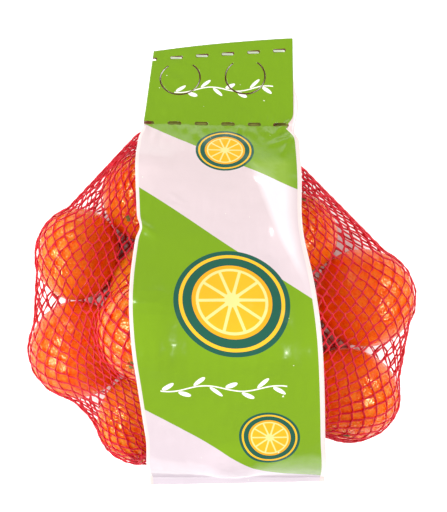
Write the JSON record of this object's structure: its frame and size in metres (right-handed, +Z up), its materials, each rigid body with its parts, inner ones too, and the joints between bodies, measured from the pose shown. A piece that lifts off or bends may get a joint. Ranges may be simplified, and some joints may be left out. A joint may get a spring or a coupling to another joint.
{
  "type": "net of clementines",
  "caption": "Tubular knitted net packed with clementines, lying on its back, with film strips front and back that join in a flat header with finger cuts for carrying.",
  "frame": {"origin": "On the table under the middle of the bag's outline.", "axes": "+Z up from the table through the printed front, +Y along the bag toward the header, +X to the right as the front is read."},
  "size_m": [0.2424, 0.2854, 0.1135],
  "materials": {
    "knitted_net": "satin",
    "printed_film": "gloss",
    "clementine_peel": "satin"
  },
  "bodies": {
    "root": {"net_bag": "knitted_net", "film_front": "printed_film", "film_back": "printed_film"}
  },
  "joints": []
}
